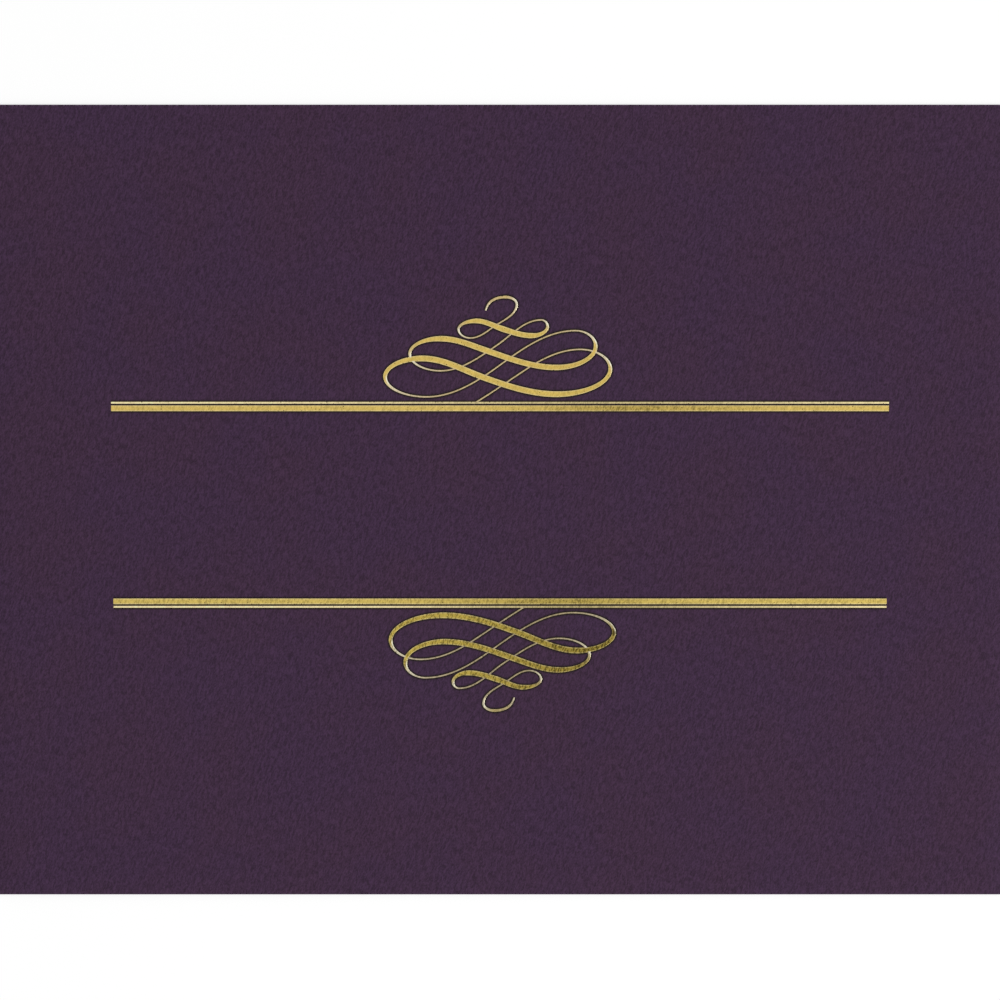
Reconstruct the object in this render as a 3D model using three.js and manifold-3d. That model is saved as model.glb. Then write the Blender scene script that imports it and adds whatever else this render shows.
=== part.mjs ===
// Diploma cover: one sheet of coloured card folded in half along its upper edge, so that a
// front leaf and a back leaf lie on each other. The front leaf carries two foil-stamped
// ornaments, each a bar, a hairline rule and a flourish drawn in one pen stroke. The back leaf
// has a slit across each corner of the document that it holds.
//
// Millimetres. The cover lies closed and face up: +X is to the right along the fold, +Y is
// towards the fold (the top of the design), +Z is up. The origin is on the underside, in the
// middle of the outline.

import * as THREE from "three";
import { mergeVertices } from "three/addons/utils/BufferGeometryUtils.js";
import Module from "manifold-3d";

// Driving dimensions

// Card sheet
const COVER_WIDTH = 304.8; // along the fold, 12 in
const COVER_HEIGHT = 238.1; // fold to open edge when closed, 9 3/8 in
const CARD_THICKNESS = 0.4;
const LEAF_GAP = 0.3; // air between the two closed leaves
const FOLD_CLEARANCE = 0.6; // from the fold's axis to the front leaf's edge, which must turn past it

// Document that the cover holds, and the slits that take its corners. With these margins it is
// an 11 by 8 1/2 in sheet.
const DOCUMENT_SIDE_MARGIN = 12.7; // document's edge to the cover's side edge
const DOCUMENT_END_MARGIN = 11.1; // document's edge to the fold and to the open edge
const SLIT_CORNER_LEG = 25; // from the document's corner to where the slit crosses its edge
const SLIT_OVERRUN = 2; // how far the slit goes on past the document's edge
const SLIT_WIDTH = 0.6;

// Foil ornaments
const FOIL_THICKNESS = 0.04;
const RULE_LENGTH = 233;
const BAR_WIDTH = 1.7; // the thick rule, nearest to the middle of the cover
const BAR_DISTANCE = 29.1; // middle of the design to the centre line of the bar
const HAIRLINE_WIDTH = 0.54; // the thin rule, outside the bar
const RULE_SPACING = 0.54; // bare card between bar and hairline
const DESIGN_DROP = 0.25; // the stamped design sits this far below the middle of the cover

// Pen path of the flourish: [x, height above the hairline's outer edge, heading in degrees
// (0 to the right, 90 up), stroke width]. The pen sets out from the hairline, swings through
// three pairs of loops, each pair smaller than the last, and ends in a hook at the top.
const PEN_PATH = [
  [-7.8, -0.5, 31, 0.4],
  [8.5, 10.2, 33, 0.4],
  [24.0, 15.7, 0, 0.42],
  [33.0, 9.9, -90, 1.1],
  [17.1, 2.3, 180, 1.72],
  [-5.4, 7.5, 160, 1.74],
  [-23.3, 13.0, 180, 1.72],
  [-34.4, 7.5, -90, 1.1],
  [-22.0, 1.5, 0, 0.42],
  [0.8, 11.6, 36, 0.4],
  [22.5, 21.3, 0, 0.42],
  [28.6, 16.7, -90, 1.1],
  [16.8, 10.3, 180, 1.62],
  [-3.9, 15.3, 161, 1.72],
  [-17.8, 18.9, 180, 1.62],
  [-27.0, 14.4, -90, 0.75],
  [-17.8, 9.3, 0, 0.42],
  [-1.0, 16.9, 34, 0.4],
  [12.3, 24.5, 0, 0.42],
  [14.2, 22.6, -90, 0.8],
  [9.6, 19.8, 180, 1.52],
  [0.8, 21.8, 162, 1.68],
  [-7.1, 24.2, 180, 1.4],
  [-12.4, 21.7, -90, 0.6],
  [-8.8, 19.1, 0, 0.4],
  [-1.7, 22.6, 34, 0.4],
  [5.0, 29.2, 90, 0.6],
  [1.7, 31.3, 180, 0.78],
  [-2.7, 30.0, -141, 0.66],
  [-4.3, 27.3, -105, 0.42],
];
const STEPS_PER_SPAN = 7; // straight pieces that each span of the pen path is drawn with
const LOOP_HANDLE = 0.55; // Bezier handle of a quarter loop, as a share of the way to its corner
const CHORD_HANDLE = 0.34; // Bezier handle of any other span, as a share of its chord

const ARC_SEGMENTS = 24; // facets of the half-round fold
const CAP_SEGMENTS = 8; // facets of a slit's round end
const TIP_SEGMENTS = 12; // facets of the round tip at the end of the pen stroke

const CARD_COLOUR = "#3f2e41"; // deep plum
const FOIL_COLOUR = "#d0b060"; // pale gold

// Derived dimensions

const FOLD_INNER_RADIUS = LEAF_GAP / 2;
const FOLD_OUTER_RADIUS = FOLD_INNER_RADIUS + CARD_THICKNESS;
const FOLD_AXIS_Y = COVER_HEIGHT / 2 - FOLD_OUTER_RADIUS;
const FOLD_AXIS_Z = FOLD_OUTER_RADIUS;
const OPEN_EDGE_Y = -COVER_HEIGHT / 2;
const FRONT_LEAF_Z = CARD_THICKNESS + LEAF_GAP;
const FACE_Z = FRONT_LEAF_Z + CARD_THICKNESS;
const DOCUMENT_WIDTH = COVER_WIDTH - 2 * DOCUMENT_SIDE_MARGIN;
const DOCUMENT_HEIGHT = COVER_HEIGHT - 2 * DOCUMENT_END_MARGIN;
const HAIRLINE_DISTANCE = BAR_DISTANCE + BAR_WIDTH / 2 + RULE_SPACING + HAIRLINE_WIDTH / 2;
const HAIRLINE_OUTER_EDGE = HAIRLINE_DISTANCE + HAIRLINE_WIDTH / 2;

const card = () => new THREE.MeshStandardMaterial({ color: CARD_COLOUR, roughness: 0.85, metalness: 0 });
const foil = () => new THREE.MeshStandardMaterial({ color: FOIL_COLOUR, roughness: 0.35, metalness: 1 });

// Joining and cutting closed solids

const wasm = await Module();
wasm.setup();

function toSolid(geometry) {
  const bare = geometry.clone();
  bare.deleteAttribute("normal");
  bare.deleteAttribute("uv");
  const merged = mergeVertices(bare);
  return new wasm.Manifold(
    new wasm.Mesh({
      numProp: 3,
      vertProperties: new Float32Array(merged.attributes.position.array),
      triVerts: new Uint32Array(merged.index.array),
    }),
  );
}

function toGeometry(solid) {
  const mesh = solid.getMesh();
  const geometry = new THREE.BufferGeometry();
  geometry.setAttribute("position", new THREE.BufferAttribute(new Float32Array(mesh.vertProperties), 3));
  geometry.setIndex(new THREE.BufferAttribute(new Uint32Array(mesh.triVerts), 1));
  geometry.computeVertexNormals();
  return geometry;
}

// Back leaf with the fold. The section through the sheet is drawn in (Y, Z) and runs along X.

function backLeafGeometry() {
  const section = new THREE.Shape();
  section.moveTo(OPEN_EDGE_Y, 0);
  section.lineTo(FOLD_AXIS_Y, 0);
  section.absarc(FOLD_AXIS_Y, FOLD_AXIS_Z, FOLD_OUTER_RADIUS, -Math.PI / 2, Math.PI / 2, false);
  section.lineTo(FOLD_AXIS_Y, FOLD_AXIS_Z + FOLD_INNER_RADIUS);
  section.absarc(FOLD_AXIS_Y, FOLD_AXIS_Z, FOLD_INNER_RADIUS, Math.PI / 2, -Math.PI / 2, true);
  section.lineTo(OPEN_EDGE_Y, CARD_THICKNESS);
  section.closePath();
  const sheet = new THREE.ExtrudeGeometry(section, {
    depth: COVER_WIDTH,
    bevelEnabled: false,
    curveSegments: ARC_SEGMENTS,
  });
  const alongX = new THREE.Matrix4().makeBasis(
    new THREE.Vector3(0, 1, 0),
    new THREE.Vector3(0, 0, 1),
    new THREE.Vector3(1, 0, 0),
  );
  sheet.applyMatrix4(alongX);
  sheet.translate(-COVER_WIDTH / 2, 0, 0);

  let leaf = toSolid(sheet);
  for (const sideX of [-1, 1]) {
    for (const sideY of [-1, 1]) {
      leaf = leaf.subtract(toSolid(slitGeometry(sideX, sideY)));
    }
  }
  return toGeometry(leaf);
}

// A slot with round ends, long enough to pass right through the leaf, at 45 degrees across one
// corner of the document.
function slitGeometry(sideX, sideY) {
  const halfWidth = SLIT_WIDTH / 2;
  const halfRun = (SLIT_CORNER_LEG * Math.SQRT2) / 2 + SLIT_OVERRUN - halfWidth;
  const outline = new THREE.Shape();
  outline.moveTo(-halfRun, -halfWidth);
  outline.lineTo(halfRun, -halfWidth);
  outline.absarc(halfRun, 0, halfWidth, -Math.PI / 2, Math.PI / 2, false);
  outline.lineTo(-halfRun, halfWidth);
  outline.absarc(-halfRun, 0, halfWidth, Math.PI / 2, (3 * Math.PI) / 2, false);
  const slit = new THREE.ExtrudeGeometry(outline, {
    depth: 3 * CARD_THICKNESS,
    bevelEnabled: false,
    curveSegments: CAP_SEGMENTS,
  });
  slit.translate(0, 0, -CARD_THICKNESS);
  slit.rotateZ((-sideX * sideY * Math.PI) / 4);
  slit.translate(
    sideX * (DOCUMENT_WIDTH / 2 - SLIT_CORNER_LEG / 2),
    sideY * (DOCUMENT_HEIGHT / 2 - SLIT_CORNER_LEG / 2),
    0,
  );
  return slit;
}

// Flourish: a pen stroke of changing width along a chain of Bezier spans

function heading(node) {
  const angle = THREE.MathUtils.degToRad(node[2]);
  return new THREE.Vector2(Math.cos(angle), Math.sin(angle));
}

function spanCurve(from, to) {
  const [start, end] = [new THREE.Vector2(from[0], from[1]), new THREE.Vector2(to[0], to[1])];
  const [leave, arrive] = [heading(from), heading(to)];
  const chord = end.clone().sub(start);

  let startReach = CHORD_HANDLE * chord.length();
  let endReach = startReach;
  const quarterLoop = from[2] % 90 === 0 && to[2] % 90 === 0;
  if (quarterLoop) {
    startReach = LOOP_HANDLE * chord.dot(leave);
    endReach = LOOP_HANDLE * chord.dot(arrive);
  }
  return new THREE.CubicBezierCurve(
    start,
    start.clone().addScaledVector(leave, startReach),
    end.clone().addScaledVector(arrive, -endReach),
    end,
  );
}

// A span narrows or widens mostly near its wide end, as a broad pen does.
function spanWidth(from, to, t) {
  const eased = to[3] > from[3] ? t * t : 1 - (1 - t) * (1 - t);
  return from[3] + (to[3] - from[3]) * eased;
}

// The stroke's left and right edges at evenly spaced steps along the whole pen path. Spans share
// their end stations, so that they join without a seam.
function strokeStations() {
  const stations = [];
  for (let index = 1; index < PEN_PATH.length; index += 1) {
    const [from, to] = [PEN_PATH[index - 1], PEN_PATH[index]];
    const curve = spanCurve(from, to);
    for (let step = index === 1 ? 0 : 1; step <= STEPS_PER_SPAN; step += 1) {
      const t = step / STEPS_PER_SPAN;
      const point = curve.getPoint(t);
      const tangent = curve.getTangent(t);
      const half = spanWidth(from, to, t) / 2;
      stations.push({
        left: new THREE.Vector2(point.x - tangent.y * half, point.y + tangent.x * half),
        right: new THREE.Vector2(point.x + tangent.y * half, point.y - tangent.x * half),
      });
    }
  }
  return stations;
}

function spanGeometry(stations) {
  const left = stations.map((station) => station.left);
  const right = stations.map((station) => station.right).reverse();
  const outline = new THREE.Shape([...left, ...right]);
  return new THREE.ExtrudeGeometry(outline, { depth: FOIL_THICKNESS, bevelEnabled: false });
}

function penTipGeometry(x, y, width) {
  const tip = new THREE.Shape();
  tip.absarc(x, y, width / 2, 0, 2 * Math.PI, false);
  return new THREE.ExtrudeGeometry(tip, {
    depth: FOIL_THICKNESS,
    bevelEnabled: false,
    curveSegments: TIP_SEGMENTS,
  });
}

// A strip of foil along X, centred on (0, y), from z = 0 up.
function stripGeometry(y, width) {
  const strip = new THREE.BoxGeometry(RULE_LENGTH, width, FOIL_THICKNESS);
  strip.translate(0, y, FOIL_THICKNESS / 2);
  return strip;
}

// The hairline rule and the flourish that grows out of it, joined into one island of foil.
function scrollGeometry() {
  const [endX, endY, , endWidth] = PEN_PATH[PEN_PATH.length - 1];
  let stroke = toSolid(penTipGeometry(endX, endY, endWidth));
  const stations = strokeStations();
  for (let first = 0; first + 1 < stations.length; first += STEPS_PER_SPAN) {
    stroke = stroke.add(toSolid(spanGeometry(stations.slice(first, first + STEPS_PER_SPAN + 1))));
  }
  stroke = stroke.translate([0, HAIRLINE_OUTER_EDGE, 0]);
  return toGeometry(stroke.add(toSolid(stripGeometry(HAIRLINE_DISTANCE, HAIRLINE_WIDTH))));
}

// Front leaf: a flat plate from the open edge to just short of the fold
function frontLeafGeometry() {
  const height = FOLD_AXIS_Y - FOLD_CLEARANCE - OPEN_EDGE_Y;
  const leaf = new THREE.BoxGeometry(COVER_WIDTH, height, CARD_THICKNESS);
  leaf.translate(0, OPEN_EDGE_Y + height / 2, FRONT_LEAF_Z + CARD_THICKNESS / 2);
  return leaf;
}

function piece(name, geometry, material) {
  const mesh = new THREE.Mesh(geometry, material);
  mesh.name = name;
  return mesh;
}

// One ornament: the bar, and outside it the hairline with its flourish
function ornament(prefix) {
  const group = new THREE.Group();
  group.add(piece(`${prefix}_bar_foil`, stripGeometry(BAR_DISTANCE, BAR_WIDTH), foil()));
  group.add(piece(`${prefix}_scroll_foil`, scrollGeometry(), foil()));
  group.position.set(0, -DESIGN_DROP, FACE_Z);
  return group;
}

const cover = new THREE.Group();
cover.add(piece("back_leaf", backLeafGeometry(), card()));
cover.add(piece("front_leaf", frontLeafGeometry(), card()));
cover.add(ornament("upper"));

// The lower ornament is the upper one turned half a turn about the middle of the design.
const lowerOrnament = ornament("lower");
lowerOrnament.rotation.z = Math.PI;
cover.add(lowerOrnament);

export default cover;
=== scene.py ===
import math

import bpy
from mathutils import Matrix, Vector, noise


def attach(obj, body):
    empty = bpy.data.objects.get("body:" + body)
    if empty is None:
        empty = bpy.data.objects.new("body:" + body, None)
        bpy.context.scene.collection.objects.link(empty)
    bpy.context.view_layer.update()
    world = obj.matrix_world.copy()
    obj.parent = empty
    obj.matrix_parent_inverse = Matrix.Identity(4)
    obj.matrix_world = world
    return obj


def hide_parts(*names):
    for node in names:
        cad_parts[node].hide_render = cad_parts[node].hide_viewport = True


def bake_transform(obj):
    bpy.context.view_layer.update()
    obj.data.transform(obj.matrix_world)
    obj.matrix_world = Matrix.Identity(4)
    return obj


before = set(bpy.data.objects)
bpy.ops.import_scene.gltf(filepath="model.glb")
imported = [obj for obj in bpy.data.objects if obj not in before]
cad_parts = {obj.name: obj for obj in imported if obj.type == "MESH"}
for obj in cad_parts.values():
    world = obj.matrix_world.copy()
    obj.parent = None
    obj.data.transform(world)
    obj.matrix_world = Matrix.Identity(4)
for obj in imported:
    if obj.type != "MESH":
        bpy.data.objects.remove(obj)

scene = bpy.context.scene
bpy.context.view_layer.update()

# Camera
# The cover lies flat and is photographed from almost straight above, 0.8 m away. The camera stands
# 4.8 degrees off the vertical, on the side of the folded edge, which is at the picture's top.
VIEW_LEAN = math.radians(4.77)
FOCAL_LENGTH = 95.85  # on the 36 mm sensor, so that the cover's width fills the picture

camera_data = bpy.data.cameras.new("camera")
camera_data.sensor_width = 36
camera_data.lens = FOCAL_LENGTH
camera_data.clip_start = 0.01
camera = bpy.data.objects.new("camera", camera_data)
camera.location = (0, 0.0678, 0.7982)
camera.rotation_euler = (-VIEW_LEAN, 0, 0)
scene.collection.objects.link(camera)
scene.camera = camera


# Table
# A plain white table top, painted and matt, wide enough to fill any view. It is as bright as the
# white round the cover in the picture.
def linear(hex_colour):
    """Linear red, green, blue and alpha of an sRGB colour such as "#3f2e41"."""
    shares = [int(hex_colour[start : start + 2], 16) / 255 for start in (1, 3, 5)]
    plain = [
        share / 12.92 if share <= 0.04045 else ((share + 0.055) / 1.055) ** 2.4 for share in shares
    ]
    return plain + [1.0]


def add_node(tree, kind, inputs=None, **settings):
    """Adds a node. settings are its properties, inputs gives each socket a value or a socket."""
    node = tree.nodes.new(kind)
    for name, value in settings.items():
        setattr(node, name, value)
    for socket, value in (inputs or {}).items():
        if isinstance(value, bpy.types.NodeSocket):
            tree.links.new(value, node.inputs[socket])
        else:
            node.inputs[socket].default_value = value
    return node


def new_material(name):
    """An empty material and its output node."""
    material = bpy.data.materials.new(name)
    material.use_nodes = True
    material.node_tree.nodes.clear()
    return material, add_node(material.node_tree, "ShaderNodeOutputMaterial")


def new_piece(name, vertices, faces, materials):
    """A mesh object from vertices in millimetres, in the row frame."""
    mesh = bpy.data.meshes.new(name)
    mesh.from_pydata([Vector(vertex) / 1000 for vertex in vertices], [], faces)
    for material in materials:
        mesh.materials.append(material)
    piece = bpy.data.objects.new(name, mesh)
    scene.collection.objects.link(piece)
    return piece


TABLE_HALF = 3000  # half the width of the table top, in millimetres like every piece's vertices
WHITE_SHARE = 0.7

table_paint, table_output = new_material("white_table_paint_matt")
nodes = table_paint.node_tree
paint = add_node(
    nodes,
    "ShaderNodeBsdfPrincipled",
    {"Base Color": linear("#fafafa"), "Roughness": 0.9, "Specular IOR Level": 0.2},
)
# Seen directly or in the foil, the table is mostly plain white; the rest keeps the cover's shadow.
white = add_node(nodes, "ShaderNodeEmission", {"Color": (1, 1, 1, 1), "Strength": 1.0})
light_path = add_node(nodes, "ShaderNodeLightPath")
direct = add_node(
    nodes,
    "ShaderNodeMath",
    {0: light_path.outputs["Is Camera Ray"], 1: light_path.outputs["Is Glossy Ray"]},
    operation="MAXIMUM",
)
seen = add_node(
    nodes,
    "ShaderNodeMath",
    {0: direct.outputs[0], 1: WHITE_SHARE},
    operation="MULTIPLY",
)
table_mix = add_node(
    nodes,
    "ShaderNodeMixShader",
    {0: seen.outputs[0], 1: paint.outputs[0], 2: white.outputs[0]},
)
nodes.links.new(table_mix.outputs[0], table_output.inputs["Surface"])

table = new_piece(
    "table",
    [(x * TABLE_HALF, y * TABLE_HALF, 0) for x, y in ((-1, -1), (1, -1), (1, 1), (-1, 1))],
    [(0, 1, 2, 3)],
    [table_paint],
)

# Light
# A white room, and one large soft panel high on the right. The room gives an even light from all
# round, and the panel picks out the felt marks of the card.
scene.view_settings.view_transform = "Standard"

world = bpy.data.worlds.new("white_room")
world.use_nodes = True
world.node_tree.nodes.clear()
room = add_node(world.node_tree, "ShaderNodeBackground", {"Color": (1, 1, 1, 1), "Strength": 0.8})
add_node(world.node_tree, "ShaderNodeOutputWorld", {"Surface": room.outputs[0]})
scene.world = world

panel_data = bpy.data.lights.new("soft_panel", "AREA")
panel_data.shape = "RECTANGLE"
panel_data.size = 1.2
panel_data.size_y = 0.9
panel_data.energy = 18
panel = bpy.data.objects.new("soft_panel", panel_data)
panel.location = (1.4, -0.6, 1.3)
panel.rotation_euler = (Vector((0, 0, 0)) - panel.location).to_track_quat("-Z", "Y").to_euler()
scene.collection.objects.link(panel)


# Card sheet
# One sheet of plum cover card, dyed right through, folded in half along the top edge and pressed
# flat. Its surface is felt-marked: shallow wavy strokes that run nearly up and down the cover.
# Four straight slits are die-cut through the back leaf, across the corners of the document.
COVER_WIDTH = 304.8
COVER_HEIGHT = 238.1
THICKNESS = 0.4
LEAF_GAP = 0.3
FOLD_RADIUS = (LEAF_GAP + THICKNESS) / 2  # of the sheet's middle layer
FOLD_Z = LEAF_GAP / 2 + THICKNESS
FOLD_Y = COVER_HEIGHT / 2 - FOLD_Z
OPEN_Y = -COVER_HEIGHT / 2
FACE_Z = LEAF_GAP + 2 * THICKNESS
FOLD_LENGTH = math.pi * FOLD_RADIUS
LEAF_LENGTH = FOLD_Y - OPEN_Y

SPRING = 0.22  # how far the middle of the front leaf's open edge stands up
SPRING_POWER = 1.5  # the leaf rises more steeply towards its open edge
CORNER_SHARE = 0.8  # a corner stands up by this share of what the middle does

SLIT_WIDTH = 0.6
SLIT_CORNER_LEG = 25
SLIT_OVERRUN = 2
DOCUMENT_SIDE_MARGIN = 12.7
DOCUMENT_END_MARGIN = 11.1
DOCUMENT_HALF = (COVER_WIDTH / 2 - DOCUMENT_SIDE_MARGIN, COVER_HEIGHT / 2 - DOCUMENT_END_MARGIN)


def leaf_lift(x, y):
    """How far the front leaf springs up at a point: nothing at the fold, most at the open edge."""
    away = max(0.0, (FOLD_Y - y) / LEAF_LENGTH)
    across = CORNER_SHARE + (1 - CORNER_SHARE) * math.cos(math.pi * x / COVER_WIDTH)
    return SPRING * away**SPRING_POWER * across


def felt_height(tree, metres):
    """The felt marks as a height from 0 to 1: short wavy strokes that lean to the right."""
    # Strokes of the felt, 0.75 mm wide and 2.1 mm long, leaning by 17 degrees
    strokes_at = add_node(
        tree,
        "ShaderNodeMapping",
        {"Vector": metres, "Rotation": (0, 0, math.radians(-17)), "Scale": (0.00075, 0.0021, 1)},
        vector_type="TEXTURE",
    )
    strokes = add_node(
        tree,
        "ShaderNodeTexNoise",
        {
            "Vector": strokes_at.outputs[0],
            "Scale": 1.0,
            "Detail": 2.0,
            "Roughness": 0.5,
            "Distortion": 0.6,
        },
        noise_dimensions="2D",
    )
    # Pebbles and fibres of the card itself, 0.4 mm wide and 0.7 mm long, and finer ones
    fibres_at = add_node(
        tree,
        "ShaderNodeMapping",
        {"Vector": metres, "Rotation": (0, 0, math.radians(-25)), "Scale": (0.0004, 0.0007, 1)},
        vector_type="TEXTURE",
    )
    fibres = add_node(
        tree,
        "ShaderNodeTexNoise",
        {"Vector": fibres_at.outputs[0], "Scale": 1.0, "Detail": 5.0, "Roughness": 0.5},
        noise_dimensions="2D",
    )
    both = add_node(
        tree,
        "ShaderNodeMix",
        {0: 0.5, 2: strokes.outputs["Fac"], 3: fibres.outputs["Fac"]},
        data_type="FLOAT",
    )
    return both.outputs[0]


def plum_dye_and_felt_shade(tree, metres, felt):
    """Colour of the dyed card, faintly clouded, with painted shade: darker in the hollows of the
    felt marks.
    """
    # Painted shade of the felt relief: darker where the felt is low, lighter where it is high
    dye = add_node(tree, "ShaderNodeValToRGB", {0: felt})
    dye.color_ramp.elements[0].position = 0.36
    dye.color_ramp.elements[0].color = linear("#2b192c")
    dye.color_ramp.elements[1].position = 0.64
    dye.color_ramp.elements[1].color = linear("#402943")
    # Clouds in the dye, 25 mm across: a little redder here, a little bluer there
    clouds = add_node(
        tree,
        "ShaderNodeTexNoise",
        {"Vector": metres, "Scale": 40.0, "Detail": 2.0},
        noise_dimensions="2D",
    )
    cloud_tint = add_node(tree, "ShaderNodeValToRGB", {0: clouds.outputs["Fac"]})
    cloud_tint.color_ramp.elements[0].position = 0.35
    cloud_tint.color_ramp.elements[0].color = (1.02, 1.005, 0.97, 1)
    cloud_tint.color_ramp.elements[1].position = 0.65
    cloud_tint.color_ramp.elements[1].color = (0.985, 0.995, 1.03, 1)
    tinted = add_node(
        tree,
        "ShaderNodeVectorMath",
        {0: dye.outputs[0], 1: cloud_tint.outputs[0]},
        operation="MULTIPLY",
    )
    return tinted.outputs[0]


def card_surface(tree, colour, felt, output):
    """Links the card's surface to the output: matt, with a faint sheen on its felt marks."""
    marks = add_node(tree, "ShaderNodeBump", {"Height": felt, "Strength": 0.6, "Distance": 0.0001})
    surface = add_node(
        tree,
        "ShaderNodeBsdfPrincipled",
        {
            "Base Color": colour,
            "Roughness": 0.8,
            "Specular IOR Level": 0.2,
            "Normal": marks.outputs[0],
        },
    )
    tree.links.new(surface.outputs[0], output.inputs["Surface"])


# Felt-marked card, dyed in the pulp
card_faces, card_output = new_material("plum_felt_marked_card_matt")
nodes = card_faces.node_tree
sheet_place = add_node(nodes, "ShaderNodeUVMap", uv_map="sheet_metres")
felt = felt_height(nodes, sheet_place.outputs[0])
# The card's colour, with painted shade in the hollows of the felt marks
dye = plum_dye_and_felt_shade(nodes, sheet_place.outputs[0], felt)
# Wear: the crest of the fold is scuffed where the sheet was creased, most on its raised marks.
SCUFF_HALF_WIDTH = 0.4
sheet_axes = add_node(nodes, "ShaderNodeSeparateXYZ", {0: sheet_place.outputs[0]})
from_crest = add_node(
    nodes,
    "ShaderNodeMath",
    {
        0: sheet_axes.outputs["Y"],
        1: -(LEAF_LENGTH + FOLD_LENGTH / 2) / 1000,
        2: SCUFF_HALF_WIDTH / 1000,
    },
    operation="COMPARE",
)
raised = add_node(
    nodes,
    "ShaderNodeMapRange",
    {"Value": felt, "From Min": 0.48, "From Max": 0.62},
)
scuffed = add_node(
    nodes,
    "ShaderNodeMath",
    {0: from_crest.outputs[0], 1: raised.outputs[0]},
    operation="MULTIPLY",
)
worn_and_shaded_dye = add_node(
    nodes,
    "ShaderNodeMix",
    {0: scuffed.outputs[0], 6: dye, 7: linear("#5b485e")},
    data_type="RGBA",
)
card_surface(nodes, worn_and_shaded_dye.outputs[2], felt, card_output)

# The cut edge of the same card: torn fibres, 0.4 mm and under, lighter and rougher than the faces.
card_edges, edge_output = new_material("plum_card_cut_edge")
nodes = card_edges.node_tree
edge_place = add_node(nodes, "ShaderNodeUVMap", uv_map="sheet_metres")
edge_fibres = add_node(
    nodes,
    "ShaderNodeTexNoise",
    {"Vector": edge_place.outputs[0], "Scale": 2500.0, "Detail": 2.0},
    noise_dimensions="2D",
)
edge_dye = add_node(nodes, "ShaderNodeValToRGB", {0: edge_fibres.outputs["Fac"]})
edge_dye.color_ramp.elements[0].color = linear("#48364b")
edge_dye.color_ramp.elements[1].color = linear("#66546a")
edge = add_node(
    nodes,
    "ShaderNodeBsdfPrincipled",
    {"Base Color": edge_dye.outputs[0], "Roughness": 0.95, "Specular IOR Level": 0.2},
)
nodes.links.new(edge.outputs[0], edge_output.inputs["Surface"])

# Stations along the sheet, from the back leaf's open edge round the fold to the front leaf's
# open edge: y and z of the middle layer, outward normal's y and z, length along the sheet so far,
# and whether the station is on the front leaf.
LEAF_STEPS = 40
FOLD_STEPS = 24
stations = []
for step in range(LEAF_STEPS):
    run = LEAF_LENGTH * step / LEAF_STEPS
    stations.append((OPEN_Y + run, THICKNESS / 2, 0.0, -1.0, run, False))
for step in range(FOLD_STEPS + 1):
    angle = math.pi * (step / FOLD_STEPS - 0.5)
    out_y, out_z = math.cos(angle), math.sin(angle)
    run = LEAF_LENGTH + FOLD_LENGTH * step / FOLD_STEPS
    y, z = FOLD_Y + FOLD_RADIUS * out_y, FOLD_Z + FOLD_RADIUS * out_z
    stations.append((y, z, out_y, out_z, run, False))
for step in range(1, LEAF_STEPS + 1):
    from_fold = LEAF_LENGTH * step / LEAF_STEPS
    run = LEAF_LENGTH + FOLD_LENGTH + from_fold
    stations.append((FOLD_Y - from_fold, FACE_Z - THICKNESS / 2, 0.0, 1.0, run, True))

COLUMNS = 51
column_x = [COVER_WIDTH * (column / (COLUMNS - 1) - 0.5) for column in range(COLUMNS)]
vertices = []
sheet_uv = []
for side in (1, -1):  # outer face, then inner face
    for y, z, out_y, out_z, run, on_front in stations:
        for x in column_x:
            lift = leaf_lift(x, y) if on_front else 0.0
            half = side * THICKNESS / 2
            vertices.append((x, y + half * out_y, z + half * out_z + lift))
            sheet_uv.append((x / 1000, -run / 1000))

rows = len(stations)
inner = rows * COLUMNS
faces = []
for row in range(rows - 1):
    for column in range(COLUMNS - 1):
        corner = row * COLUMNS + column
        faces.append((corner, corner + COLUMNS, corner + 1 + COLUMNS, corner + 1))
        corner += inner
        faces.append((corner, corner + 1, corner + 1 + COLUMNS, corner + COLUMNS))
face_count = len(faces)
for row in range(rows - 1):
    for column, order in ((0, -1), (COLUMNS - 1, 1)):
        corner = row * COLUMNS + column
        faces.append((corner, corner + COLUMNS, corner + COLUMNS + inner, corner + inner)[::order])
for column in range(COLUMNS - 1):
    for row, order in ((0, 1), (rows - 1, -1)):
        corner = row * COLUMNS + column
        faces.append((corner, corner + 1, corner + 1 + inner, corner + inner)[::order])

sheet = new_piece("folded_card_sheet", vertices, faces, [card_faces, card_edges])
uv_layer = sheet.data.uv_layers.new(name="sheet_metres")
for loop in sheet.data.loops:
    uv_layer.data[loop.index].uv = sheet_uv[loop.vertex_index]
for polygon in sheet.data.polygons[face_count:]:
    polygon.material_index = 1

CAP_STEPS = 8  # facets of a slit's round end
CUT_LOW = -0.2  # the cut goes from under the back leaf to the middle of the gap
CUT_HIGH = THICKNESS + LEAF_GAP / 2


def slit_outline(side_x, side_y):
    """Outline of a slot with round ends, at 45 degrees across one corner of the document."""
    half_run = SLIT_CORNER_LEG * math.sqrt(0.5) + SLIT_OVERRUN - SLIT_WIDTH / 2
    turn = -side_x * side_y * math.pi / 4
    centre_x = side_x * (DOCUMENT_HALF[0] - SLIT_CORNER_LEG / 2)
    centre_y = side_y * (DOCUMENT_HALF[1] - SLIT_CORNER_LEG / 2)
    outline = []
    for end, first in ((1, -90), (-1, 90)):
        for step in range(CAP_STEPS + 1):
            angle = math.radians(first + 180 / CAP_STEPS * step)
            along = end * half_run + SLIT_WIDTH / 2 * math.cos(angle)
            across = SLIT_WIDTH / 2 * math.sin(angle)
            x = centre_x + along * math.cos(turn) - across * math.sin(turn)
            y = centre_y + along * math.sin(turn) + across * math.cos(turn)
            outline.append((x, y))
    return outline


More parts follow.
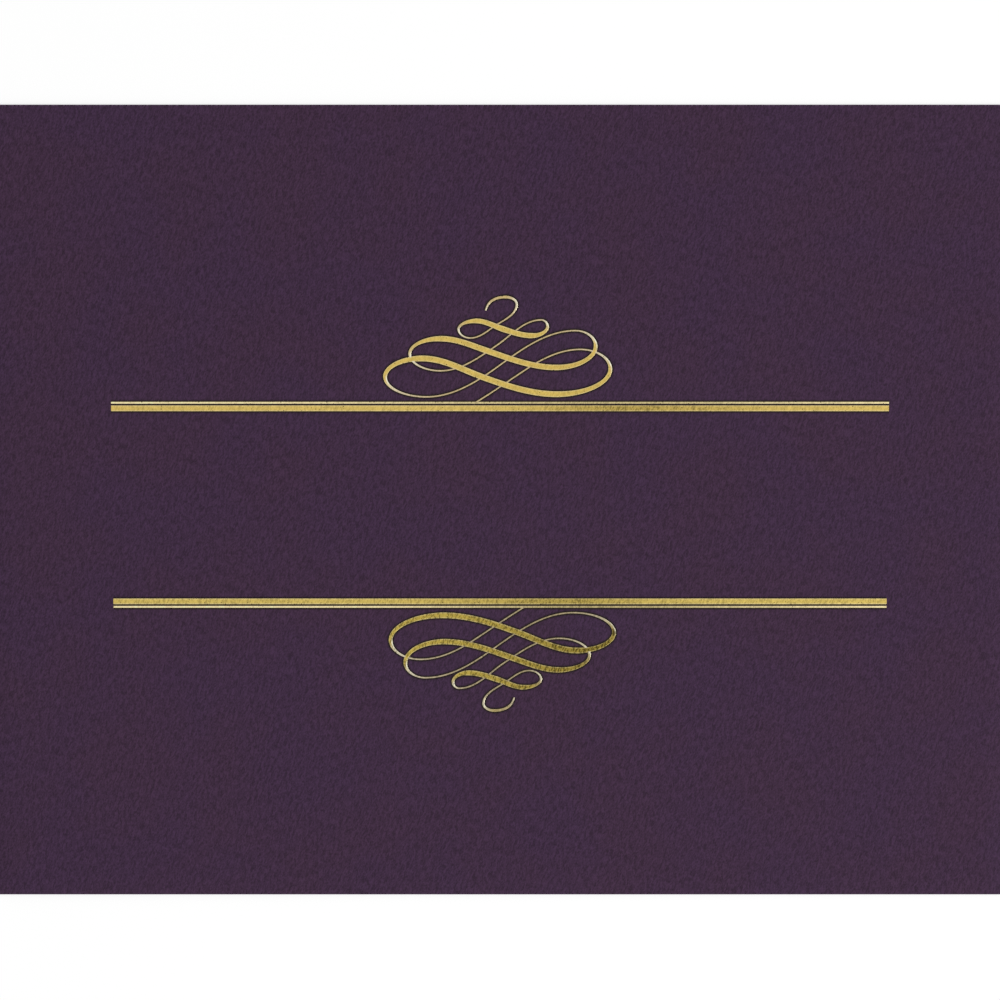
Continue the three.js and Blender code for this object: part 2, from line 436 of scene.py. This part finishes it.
cut_vertices, cut_faces = [], []
for side_x in (-1, 1):
    for side_y in (-1, 1):
        outline = slit_outline(side_x, side_y)
        first, count = len(cut_vertices), len(outline)
        cut_vertices += [(x, y, z) for z in (CUT_LOW, CUT_HIGH) for x, y in outline]
        cut_faces.append(tuple(range(first + count - 1, first - 1, -1)))
        cut_faces.append(tuple(range(first + count, first + 2 * count)))
        for index in range(count):
            here, after = first + index, first + (index + 1) % count
            cut_faces.append((here, after, after + count, here + count))
cutter = new_piece("slit_cutter", cut_vertices, cut_faces, [card_edges])

die_cut = sheet.modifiers.new("slits", "BOOLEAN")
die_cut.operation = "DIFFERENCE"
die_cut.solver = "EXACT"
die_cut.object = cutter
die_cut.material_mode = "TRANSFER"
# The die rounds the rims of the card by 0.05 mm.
rims = sheet.modifiers.new("rounded_rims", "BEVEL")
rims.width = 0.00005
rims.segments = 2
rims.limit_method = "ANGLE"
rims.angle_limit = math.radians(50)


def apply_modifiers(piece):
    """Gives the piece the mesh that its modifiers make."""
    depsgraph = bpy.context.evaluated_depsgraph_get()
    made = piece.evaluated_get(depsgraph)
    mesh = bpy.data.meshes.new_from_object(
        made, preserve_all_data_layers=True, depsgraph=depsgraph
    )
    piece.modifiers.clear()
    piece.data = mesh


apply_modifiers(sheet)
bpy.data.objects.remove(cutter)
sheet.data.polygons.foreach_set("use_smooth", [True] * len(sheet.data.polygons))
sheet.data.set_sharp_from_angle(angle=math.radians(35))
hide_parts("back_leaf", "front_leaf")
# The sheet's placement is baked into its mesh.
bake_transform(sheet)


# Foil ornaments
# Gold hot-stamping foil on the front leaf. A heated die presses each shape into the card: a bar,
# a hairline rule and a flourish drawn in one stroke of a broad pen. The lower ornament is the
# same die turned by half a turn.
RULE_LENGTH = 233
BAR_WIDTH = 1.7
BAR_DISTANCE = 29.1  # from the middle of the design
HAIRLINE_WIDTH = 0.54
RULE_SPACING = 0.54  # bare card between bar and hairline
HAIRLINE_DISTANCE = BAR_DISTANCE + BAR_WIDTH / 2 + RULE_SPACING + HAIRLINE_WIDTH / 2
HAIRLINE_OUTER_EDGE = HAIRLINE_DISTANCE + HAIRLINE_WIDTH / 2
DESIGN_DROP = 0.25  # the stamped design sits this far below the middle of the cover

# Pen path: x, height above the hairline's outer edge, heading in degrees, stroke width
PEN_PATH = [
    (-7.8, -0.5, 31, 0.4),
    (8.5, 10.2, 33, 0.4),
    (24.0, 15.7, 0, 0.42),
    (33.0, 9.9, -90, 1.1),
    (17.1, 2.3, 180, 1.72),
    (-5.4, 7.5, 160, 1.74),
    (-23.3, 13.0, 180, 1.72),
    (-34.4, 7.5, -90, 1.1),
    (-22.0, 1.5, 0, 0.42),
    (0.8, 11.6, 36, 0.4),
    (22.5, 21.3, 0, 0.42),
    (28.6, 16.7, -90, 1.1),
    (16.8, 10.3, 180, 1.62),
    (-3.9, 15.3, 161, 1.72),
    (-17.8, 18.9, 180, 1.62),
    (-27.0, 14.4, -90, 0.75),
    (-17.8, 9.3, 0, 0.42),
    (-1.0, 16.9, 34, 0.4),
    (12.3, 24.5, 0, 0.42),
    (14.2, 22.6, -90, 0.8),
    (9.6, 19.8, 180, 1.52),
    (0.8, 21.8, 162, 1.68),
    (-7.1, 24.2, 180, 1.4),
    (-12.4, 21.7, -90, 0.6),
    (-8.8, 19.1, 0, 0.4),
    (-1.7, 22.6, 34, 0.4),
    (5.0, 29.2, 90, 0.6),
    (1.7, 31.3, 180, 0.78),
    (-2.7, 30.0, -141, 0.66),
    (-4.3, 27.3, -105, 0.42),
]
SPAN_STEPS = 22
LOOP_HANDLE = 0.55  # Bezier handle of a quarter loop, as a share of the way to its corner
CHORD_HANDLE = 0.34  # Bezier handle of any other span, as a share of its chord
RULE_STEPS = 116  # one station every 2 mm


def direction(degrees):
    """Unit vector that points this way, 0 to the right and 90 up."""
    return Vector((math.cos(math.radians(degrees)), math.sin(math.radians(degrees))))


def pen_stroke():
    """Points of the flourish as (x, y, heading in radians, width), smooth along Bezier spans."""
    points = []
    for (x0, y0, from_degrees, w0), (x1, y1, to_degrees, w1) in zip(PEN_PATH, PEN_PATH[1:]):
        start, end = Vector((x0, y0)), Vector((x1, y1))
        leave, arrive = direction(from_degrees), direction(to_degrees)
        chord = end - start
        # A quarter of a loop is nearly an ellipse; any other span bends evenly along its chord.
        reach_0 = reach_1 = CHORD_HANDLE * chord.length
        if from_degrees % 90 == 0 and to_degrees % 90 == 0:
            reach_0, reach_1 = LOOP_HANDLE * chord.dot(leave), LOOP_HANDLE * chord.dot(arrive)
        handle_0, handle_1 = start + leave * reach_0, end - arrive * reach_1
        for step in range(1 if points else 0, SPAN_STEPS + 1):
            t = step / SPAN_STEPS
            u = 1 - t
            at = start * u**3 + handle_0 * 3 * u * u * t + handle_1 * 3 * u * t * t + end * t**3
            along = (handle_0 - start) * u * u
            along += (handle_1 - handle_0) * 2 * u * t
            along += (end - handle_1) * t * t
            # The stroke narrows or widens mostly near the wide end of a span.
            eased = t * t if w1 > w0 else 1 - u * u
            width = w0 + (w1 - w0) * eased
            points.append((at.x, at.y + HAIRLINE_OUTER_EDGE, math.atan2(along.y, along.x), width))
    return points


def straight_rule(y, width):
    """Points of a rule along X, as pen_stroke gives them."""
    steps = range(RULE_STEPS + 1)
    return [(RULE_LENGTH * (step / RULE_STEPS - 0.5), y, 0.0, width) for step in steps]


def half_turn(points):
    """The same stroke turned by half a turn about the middle of the design."""
    return [(-x, -y, heading + math.pi, width) for x, y, heading, width in points]


# Looks of the foil: colour of broad strokes, colour of thin strokes, strength of the mottles
# outside the dark band, strength of the band, and where along X the band is deepest and how far
# it reaches to the left and to the right. The band is a painted reflection of something dark, and
# the mottles are painted shade in the felt hollows. The lower ornament's foil is more olive.
UPPER_BAR = ("#dec069", "#ead7a2", 0.12, 0.41, 39, 28, 34)
UPPER_HAIRLINE = ("#ffebb0", "#ffebb0", 0.12, 1.0, 32, 75, 70)
UPPER_FLOURISH = ("#dec067", "#cdb78b", 0.03, 0.08, 52, 60, 24)
LOWER_BAR = ("#dac067", "#ead7a2", 0.25, 0.46, 21, 36, 22)
LOWER_HAIRLINE = ("#ffebb0", "#ffebb0", 0.12, 1.3, 24, 43, 65)
LOWER_FLOURISH = ("#cdb456", "#bdad8e", 0.6, 0.74, 33, 45, 9)

# Colours that every look shares: painted highlights for the rims and the flashes, and a painted
# dark reflection for the band
RIM_HIGHLIGHT_GOLD, PAINTED_HIGHLIGHT_WHITE, PAINTED_DARK_REFLECTION = (linear(tone) for tone in ("#f0e2b8", "#fff9e0", "#81702e"))


def ramp(value, start, end):
    """0 at start, 1 at end, even in between and level outside."""
    return min(1.0, max(0.0, (value - start) / (end - start)))


def blended(tone, other, share):
    """A tone with this share of another mixed in."""
    return [a + (b - a) * share for a, b in zip(tone, other)]


def foil_tone(look, x, heading, width, side):
    """Colour of the foil at one point of a stroke, with painted highlights and a painted dark
    reflection, and the strength of its painted shade in the felt hollows in the alpha. side runs
    from -1 to 1 across the stroke."""
    broad_colour, thin_colour, mottles, strength, band_x, left_reach, right_reach = look
    # Strokes of 1 mm and more are broad, and those of 0.6 mm and less are thin.
    thin = ramp(width, 1.0, 0.6)
    # The bent rim of a broad stroke has a painted highlight over the outer 45 % of its half width.
    rim = ramp(abs(side), 0.55, 1.0) * (1 - thin)
    # The steep ends of the loops carry a painted highlight, nearly white: those that head at 115
    # degrees, along the rim that faces right, less on wide strokes and more softly on thin ones.
    steep = abs(math.cos(heading - math.radians(115))) ** (6 - 4 * thin) * ramp(width, 1.9, 1.1)
    faces_right = ramp(-math.sin(heading) * side, 1 / 24, 11 / 24)
    flash = steep * max(faces_right, 0.6 * thin)
    # The dark band, a painted reflection, shows most in the middle of broad strokes, and less where
    # the painted highlight is.
    away = (x - band_x) / (left_reach if x < band_x else right_reach)
    dark_reflection = strength * math.exp(-(away**2)) * (1 - 0.6 * flash) * (1 - 0.5 * max(rim, thin))

    tone = blended(linear(broad_colour), linear(thin_colour), thin)
    tone = blended(tone, RIM_HIGHLIGHT_GOLD, 0.5 * rim)
    tone = blended(tone, PAINTED_HIGHLIGHT_WHITE, flash)
    tone = blended(tone, PAINTED_DARK_REFLECTION, dark_reflection)
    # Mottles, painted shade in the felt hollows, are strongest in the band, and faint on thin
    # strokes.
    mottled = max(1.2 * dark_reflection, mottles) * (1 - 0.6 * thin)
    return tone[:3] + [mottled]


# The foil's section from edge to edge, as (share of the half width, height): the film bends down
# into the card at its rims.
FOIL_SECTION = [(-1.0, -0.02), (-1.0, 0.02), (-0.88, 0.038), (-0.55, 0.04), (0.0, 0.0405)]
FOIL_SECTION += [(-share, height) for share, height in reversed(FOIL_SECTION[:4])]
# Beside the foil lies a strip of card of this width, a few thousandths of a millimetre over the
# sheet, as (share of its width, height, darkness): a painted shadow, dark at the foil, plain at its
# border.
RIM_WIDTH = 0.75
RIM_SECTION = [(1.0, 0.002, 0.0), (0.45, 0.004, 0.6), (0.25, 0.005, 1.0), (0.0, 0.006, 1.0)]
# The film's edge is ragged by a few hundredths of a millimetre, with about 2 waves in a millimetre.
RAGGED_DEPTH = 0.025
RAGGED_WAVES = 1.9
# Where the pen crosses its own line, the broad stroke covers the thin one: a stroke lies higher by
# this share of its width.
CLIMB = 0.0015


def ribbon(strokes, section_of, colour_of):
    """Vertices, faces, colours and sheet coordinates of strokes swept with a section."""
    vertices, faces, colours, places = [], [], [], []
    for order, (look, points) in enumerate(strokes):
        first = len(vertices)
        for x, y, heading, width in points:
            section = section_of(width)
            count = len(section)
            wave = noise.noise(Vector((x * RAGGED_WAVES, y * RAGGED_WAVES, order)))
            for offset, height, mark in section:
                if offset:
                    offset += math.copysign(RAGGED_DEPTH * wave, offset)
                px = x - math.sin(heading) * offset
                py = y + math.cos(heading) * offset - DESIGN_DROP
                z = FACE_Z + leaf_lift(px, py) + height + CLIMB * width
                vertices.append((px, py, z))
                colours.append(colour_of(look, x, heading, width, mark))
                places.append((px / 1000, (py - LEAF_LENGTH - FOLD_LENGTH - FOLD_Y) / 1000))
        for index in range(len(points) - 1):
            for lane in range(count - 1):
                corner = first + index * count + lane
                faces.append((corner, corner + count, corner + count + 1, corner + 1))
        last = first + (len(points) - 1) * count
        faces.append(tuple(range(first, first + count)))
        faces.append(tuple(range(last + count - 1, last - 1, -1)))
    return vertices, faces, colours, places


def ribbon_piece(name, strokes, section_of, colour_of, material):
    """The swept strokes as one piece that moves with the front leaf."""
    vertices, faces, colours, places = ribbon(strokes, section_of, colour_of)
    piece = new_piece(name, vertices, faces, [material])
    tone = piece.data.color_attributes.new("tone", "FLOAT_COLOR", "POINT")
    tone.data.foreach_set("color", [part for colour in colours for part in colour])
    uv_layer = piece.data.uv_layers.new(name="sheet_metres")
    for loop in piece.data.loops:
        uv_layer.data[loop.index].uv = places[loop.vertex_index]
    piece.data.polygons.foreach_set("use_smooth", [True] * len(piece.data.polygons))
    piece.data.set_sharp_from_angle(angle=math.radians(60))
    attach(piece, "front")
    return piece


def foil_section(width):
    """Section of the film: (offset from the centre line, height, share of the half width)."""
    return [(share * width / 2, height, share) for share, height in FOIL_SECTION]


def rim_section(width):
    """Section of the painted shadow strip: (offset from the centre line, height, how dark it is).
    """
    lanes = [(-width / 2 - share * RIM_WIDTH, height, mark) for share, height, mark in RIM_SECTION]
    return lanes + [(-offset, height, mark) for offset, height, mark in reversed(lanes)]


def rim_shade(look, x, heading, width, mark):
    """How dark the painted shadow beside the foil is, as a grey. It doesn't depend on the place."""
    return [mark, mark, mark, 1.0]


# Hot-stamping foil: a vacuum-metallised film over gold lacquer. It is a satin mirror, and the felt
# marks of the card show through it.
gold_foil, foil_output = new_material("gold_stamping_foil_satin")
nodes = gold_foil.node_tree
foil_place = add_node(nodes, "ShaderNodeUVMap", uv_map="sheet_metres")
foil_felt = felt_height(nodes, foil_place.outputs[0])
tone = add_node(nodes, "ShaderNodeVertexColor", layer_name="tone")
# Streaks and clouds in the film, 1.5 mm across and finer
clouds = add_node(
    nodes,
    "ShaderNodeTexNoise",
    {"Vector": foil_place.outputs[0], "Scale": 650.0, "Detail": 4.0, "Roughness": 0.65},
    noise_dimensions="2D",
)
cloud_gain = add_node(
    nodes,
    "ShaderNodeMapRange",
    {
        "Value": clouds.outputs["Fac"],
        "From Min": 0.25,
        "From Max": 0.75,
        "To Min": 0.9,
        "To Max": 1.14,
    },
)
# Painted light and shade of the felt marks: lighter on their crests, darker in their hollows
felt_light_and_shade = add_node(
    nodes,
    "ShaderNodeMapRange",
    {"Value": foil_felt, "From Min": 0.35, "From Max": 0.65, "To Min": 0.9, "To Max": 1.1},
)
# Mottles: painted shade in the hollows of the felt marks, most of all in the dark band.
hollow = add_node(
    nodes,
    "ShaderNodeMapRange",
    {"Value": foil_felt, "From Min": 0.44, "From Max": 0.5, "To Min": 1.0, "To Max": 0.0},
)
hollow_share = add_node(
    nodes,
    "ShaderNodeMath",
    {0: hollow.outputs[0], 1: tone.outputs["Alpha"]},
    operation="MULTIPLY",
)
hollow_gain = add_node(
    nodes,
    "ShaderNodeMath",
    {0: hollow_share.outputs[0], 1: -0.8, 2: 1.0},
    operation="MULTIPLY_ADD",
)
gain = add_node(
    nodes,
    "ShaderNodeMath",
    {0: cloud_gain.outputs[0], 1: felt_light_and_shade.outputs[0]},
    operation="MULTIPLY",
)
mottled_gain = add_node(
    nodes,
    "ShaderNodeMath",
    {0: gain.outputs[0], 1: hollow_gain.outputs[0]},
    operation="MULTIPLY",
)
gold = add_node(
    nodes,
    "ShaderNodeVectorMath",
    {0: tone.outputs["Color"], "Scale": mottled_gain.outputs[0]},
    operation="SCALE",
)
# Pinholes, up to 0.4 mm across, where the film didn't take and the card shows
pits = add_node(
    nodes,
    "ShaderNodeTexNoise",
    {"Vector": foil_place.outputs[0], "Scale": 2400.0, "Detail": 0.0},
    noise_dimensions="2D",
)
pinhole = add_node(
    nodes,
    "ShaderNodeMapRange",
    {"Value": pits.outputs["Fac"], "From Min": 0.8, "From Max": 0.86},
)
pitted_gold = add_node(
    nodes,
    "ShaderNodeMix",
    {0: pinhole.outputs[0], 6: gold.outputs[0], 7: linear("#4b3626")},
    data_type="RGBA",
)
foil_marks = add_node(
    nodes,
    "ShaderNodeBump",
    {"Height": foil_felt, "Strength": 0.35, "Distance": 0.00005},
)
foil = add_node(
    nodes,
    "ShaderNodeBsdfPrincipled",
    {
        "Base Color": pitted_gold.outputs[2],
        "Metallic": 1.0,
        "Roughness": 0.32,
        "Normal": foil_marks.outputs[0],
    },
)
nodes.links.new(foil.outputs[0], foil_output.inputs["Surface"])

# The card beside the foil, with a painted shadow: darker than the open card towards the foil.
shadow_strip_card, shadow_strip_output = new_material("plum_card_painted_rim_shadow")
nodes = shadow_strip_card.node_tree
rim_place = add_node(nodes, "ShaderNodeUVMap", uv_map="sheet_metres")
rim_felt = felt_height(nodes, rim_place.outputs[0])
rim_dye_and_felt_shade = plum_dye_and_felt_shade(nodes, rim_place.outputs[0], rim_felt)
rim_tone = add_node(nodes, "ShaderNodeVertexColor", layer_name="tone")
# Painted shadow beside the foil: the strip darkens to nearly black next to it.
painted_shadow_mix = add_node(
    nodes,
    "ShaderNodeMix",
    {0: rim_tone.outputs["Color"], 6: rim_dye_and_felt_shade, 7: linear("#120900")},
    data_type="RGBA",
)
card_surface(nodes, painted_shadow_mix.outputs[2], rim_felt, shadow_strip_output)

flourish = pen_stroke()
bar = straight_rule(BAR_DISTANCE, BAR_WIDTH)
hairline = straight_rule(HAIRLINE_DISTANCE, HAIRLINE_WIDTH)
ornaments = {
    "upper_bar": [(UPPER_BAR, bar)],
    "upper_scroll": [(UPPER_HAIRLINE, hairline), (UPPER_FLOURISH, flourish)],
    "lower_bar": [(LOWER_BAR, half_turn(bar))],
    "lower_scroll": [(LOWER_HAIRLINE, half_turn(hairline)), (LOWER_FLOURISH, half_turn(flourish))],
}
for part, strokes in ornaments.items():
    film = ribbon_piece(f"{part}_stamped_foil", strokes, foil_section, foil_tone, gold_foil)
    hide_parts(f"{part}_foil")
    # Beside each ornament, a strip of card with a painted shadow.
    shadow_piece = ribbon_piece(f"{part}_painted_rim_shadow", strokes, rim_section, rim_shade, shadow_strip_card)
